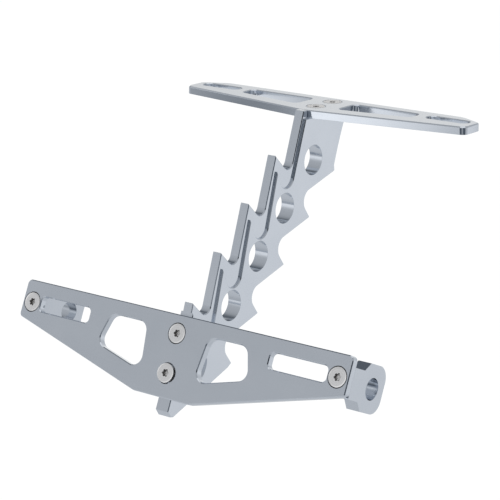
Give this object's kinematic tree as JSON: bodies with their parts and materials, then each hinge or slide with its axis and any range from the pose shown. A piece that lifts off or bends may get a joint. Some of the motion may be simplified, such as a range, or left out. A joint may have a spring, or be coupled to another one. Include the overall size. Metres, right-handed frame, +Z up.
{
  "type": "tail tidy",
  "caption": "Motorbike number plate holder: a slotted top plate, a toothed spine with round cut-outs, and a tilted lower plate that carries an indicator bracket at each end.",
  "frame": {"origin": "on the upper face of the top plate, midway between its two slots", "axes": "+X to the right as seen from behind the vehicle, along the plates; +Y forward on the vehicle; +Z up, out of the top plate's upper face"},
  "size_m": [0.195, 0.1447, 0.1294],
  "materials": {
    "plates": "clear anodised satin",
    "spine": "clear anodised satin",
    "brackets": "clear anodised satin",
    "screws": "plain stainless, turned"
  },
  "bodies": {
    "root": {"top_plate": "plates", "lower_plate": "plates", "spine": "spine", "indicator_bracket_left": "brackets", "indicator_bracket_right": "brackets", "top_screw_rear": "screws", "top_screw_front": "screws", "centre_screw_upper": "screws", "centre_screw_lower": "screws", "end_screw_left": "screws", "end_screw_right": "screws"}
  },
  "joints": []
}
